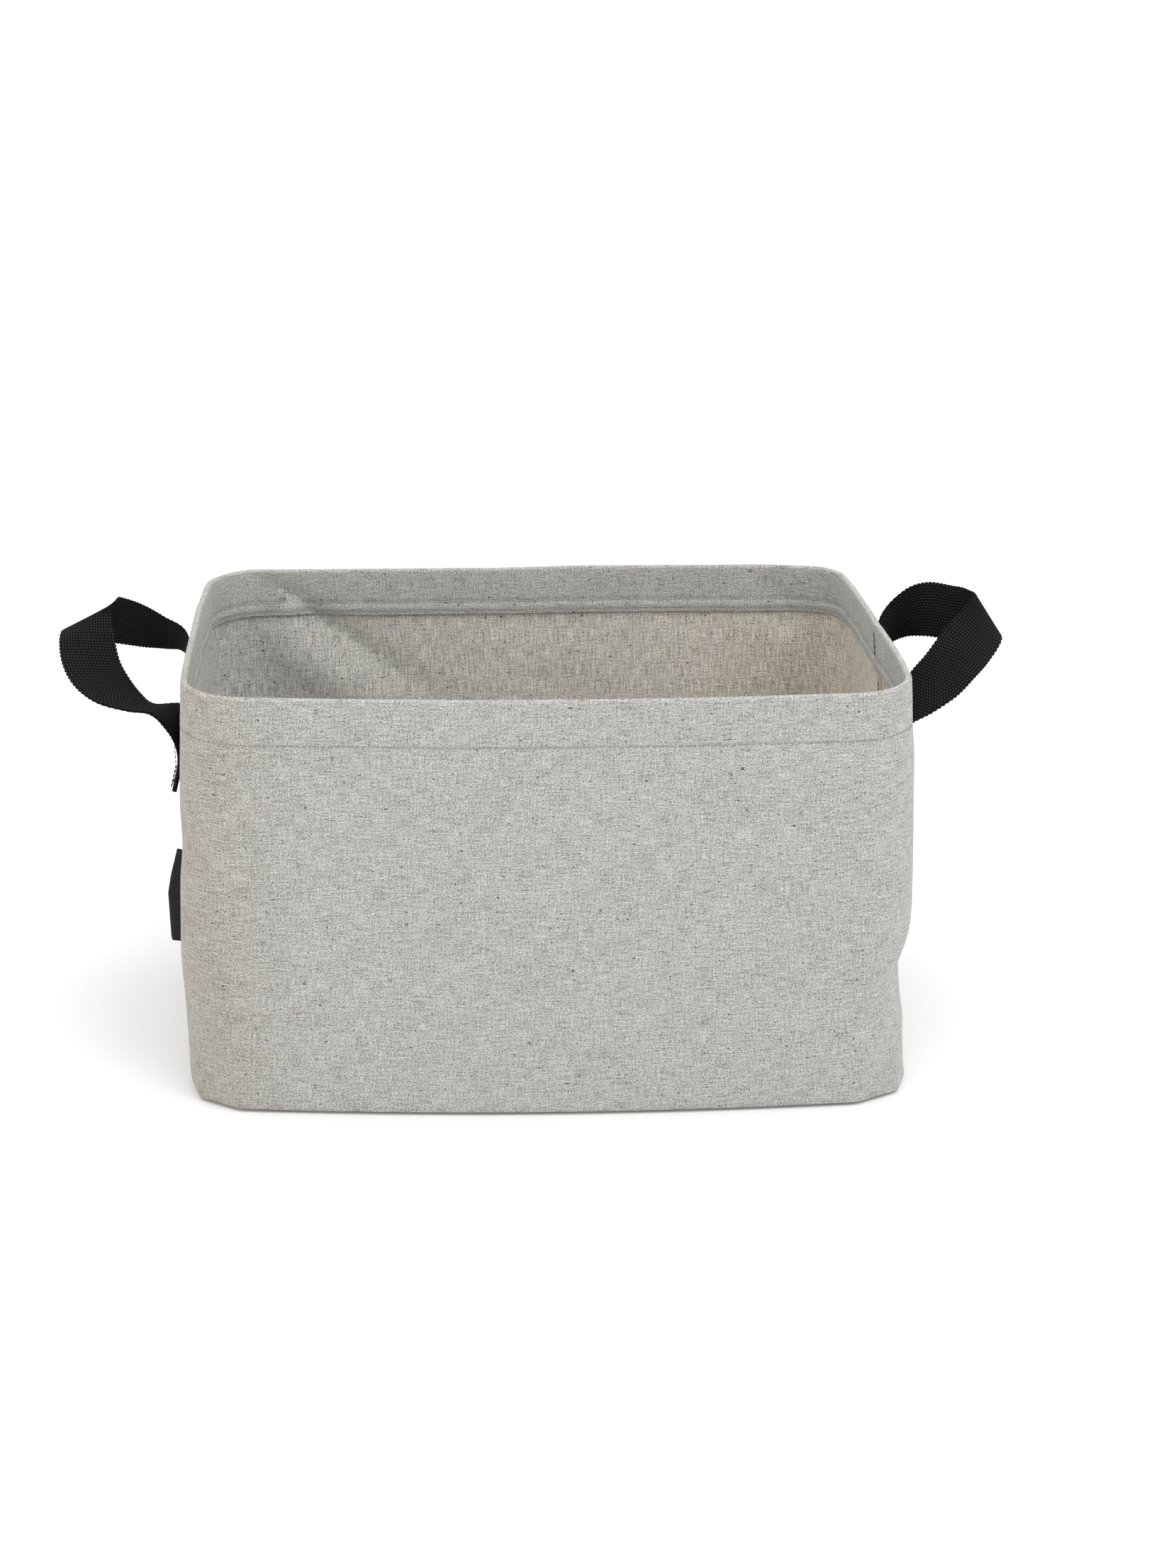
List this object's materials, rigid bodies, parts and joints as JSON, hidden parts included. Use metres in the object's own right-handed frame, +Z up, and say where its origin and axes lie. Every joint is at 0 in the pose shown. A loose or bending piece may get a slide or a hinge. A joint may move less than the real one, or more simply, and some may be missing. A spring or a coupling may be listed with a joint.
{
  "type": "fabric storage bin",
  "caption": "Open-topped rectangular fabric storage bin with rounded corners, a stitched rim hem, a flat base and a webbing loop handle sewn on each short side.",
  "frame": {"origin": "on the floor at the centre of the base", "axes": "+X along the long side towards the right handle, +Y from front to rear, +Z up"},
  "size_m": [0.6264, 0.3054, 0.3033],
  "materials": {
    "melange_cloth": "matte woven",
    "lining_cloth": "matte woven, coated",
    "binding_tape": "matte tape",
    "thread": "sewing thread",
    "black_webbing": "matte cotton webbing",
    "black_thread": "sewing thread",
    "label_cloth": "smooth woven label",
    "stiffener_tape": "extruded tape",
    "board": "rigid sheet"
  },
  "bodies": {
    "bin": {"outer_front_wall": "melange_cloth", "outer_rear_wall": "melange_cloth", "base_cloth": "melange_cloth", "lining_front": "lining_cloth", "lining_rear": "lining_cloth", "base_lining": "lining_cloth", "base_board": "board", "base_seam_binding": "binding_tape", "left_seam_binding": "binding_tape", "right_seam_binding": "binding_tape", "side_label": "label_cloth"},
    "rim": {"rim_hem_front": "melange_cloth", "rim_hem_rear": "melange_cloth", "rim_stiffener_front": "stiffener_tape", "rim_stiffener_rear": "stiffener_tape", "rim_topstitch": "thread", "hem_upper_stitch": "thread", "hem_lower_stitch": "thread", "left_front_tab": "black_webbing", "left_rear_tab": "black_webbing", "right_front_tab": "black_webbing", "right_rear_tab": "black_webbing", "left_tab_stitches": "black_thread", "right_tab_stitches": "black_thread"},
    "left_handle": {"left_handle_loop": "black_webbing"},
    "right_handle": {"right_handle_loop": "black_webbing"}
  },
  "joints": [
    {"name": "rim_collapse", "type": "slide", "parent": "bin", "child": "rim", "axis": [0, 0, -1], "range_m": [0, 0.175], "deforming": ["outer_front_wall", "outer_rear_wall", "lining_front", "lining_rear", "left_seam_binding", "right_seam_binding", "side_label"]},
    {"name": "left_handle_swing", "type": "hinge", "parent": "rim", "child": "left_handle", "pos_m": [-0.2313, 0, 0.233], "axis": [0, 1, 0], "range_deg": [-105, 35]},
    {"name": "right_handle_swing", "type": "hinge", "parent": "rim", "child": "right_handle", "pos_m": [0.2313, 0, 0.233], "axis": [0, -1, 0], "range_deg": [-105, 35]}
  ]
}
